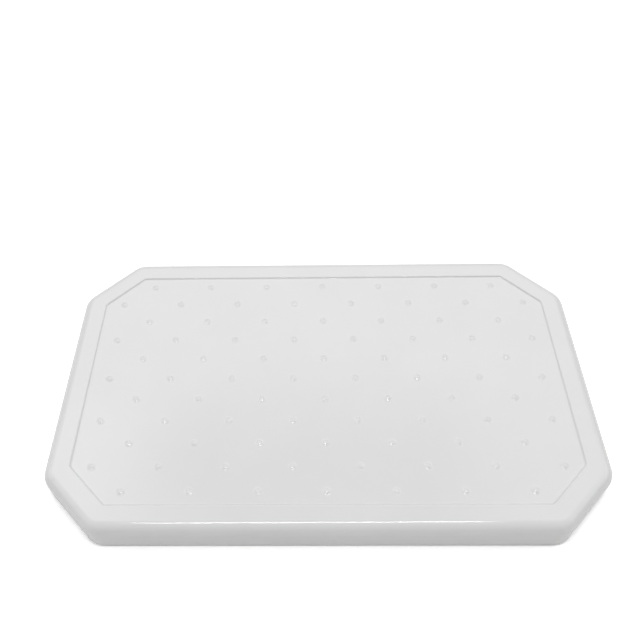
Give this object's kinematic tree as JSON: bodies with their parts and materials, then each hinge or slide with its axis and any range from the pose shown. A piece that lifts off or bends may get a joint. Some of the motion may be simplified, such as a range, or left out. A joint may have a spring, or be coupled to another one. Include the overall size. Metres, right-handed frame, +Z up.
{
  "type": "diving board",
  "caption": "Short moulded diving board: white shell with clipped corners, raised rim and studded sunken tread over a sealed wooden core, with threaded inserts underneath.",
  "frame": {"origin": "on the floor under the centre of the board, level with the undersides of the rubber pads", "axes": "+X along the board's long side, +Y towards its back edge, +Z up through the tread"},
  "size_m": [0.7516, 0.4566, 0.0475],
  "materials": {
    "shell": "glossy white gelcoat",
    "pan": "fine matt texture",
    "sealant": "satin white sealant",
    "laminate": "translucent greenish glass-fibre laminate, woven texture",
    "filler": "rough pale putty",
    "frame_wood": "sawn softwood",
    "stringer_wood": "laminated plywood",
    "foam": "fine closed-cell foam",
    "dowel_wood": "turned hardwood",
    "insert_steel": "turned stainless steel",
    "gasket_rubber": "matt black rubber",
    "pad_rubber": "matt dark rubber",
    "screw_steel": "satin stainless steel"
  },
  "bodies": {
    "root": {"top_shell": "shell", "bottom_pan": "pan", "sealant_bead": "sealant", "top_laminate": "laminate", "bottom_laminate": "laminate", "rim_filler": "filler", "front_rail": "frame_wood", "right_rail": "frame_wood", "back_rail": "frame_wood", "left_rail": "frame_wood", "front_right_corner_rail": "frame_wood", "back_right_corner_rail": "frame_wood", "back_left_corner_rail": "frame_wood", "front_left_corner_rail": "frame_wood", "stringer_1": "stringer_wood", "stringer_2": "stringer_wood", "stringer_3": "stringer_wood", "stringer_4": "stringer_wood", "foam_strip_1": "foam", "foam_strip_2": "foam", "foam_strip_3": "foam", "foam_strip_4": "foam", "foam_strip_5": "foam", "frame_dowels": "dowel_wood", "threaded_insert_1": "insert_steel", "threaded_insert_2": "insert_steel", "threaded_insert_3": "insert_steel", "threaded_insert_4": "insert_steel", "insert_gaskets": "gasket_rubber", "front_right_pad": "pad_rubber", "back_right_pad": "pad_rubber", "back_left_pad": "pad_rubber", "front_left_pad": "pad_rubber", "pad_screws": "screw_steel", "pan_screws": "screw_steel"}
  },
  "joints": []
}
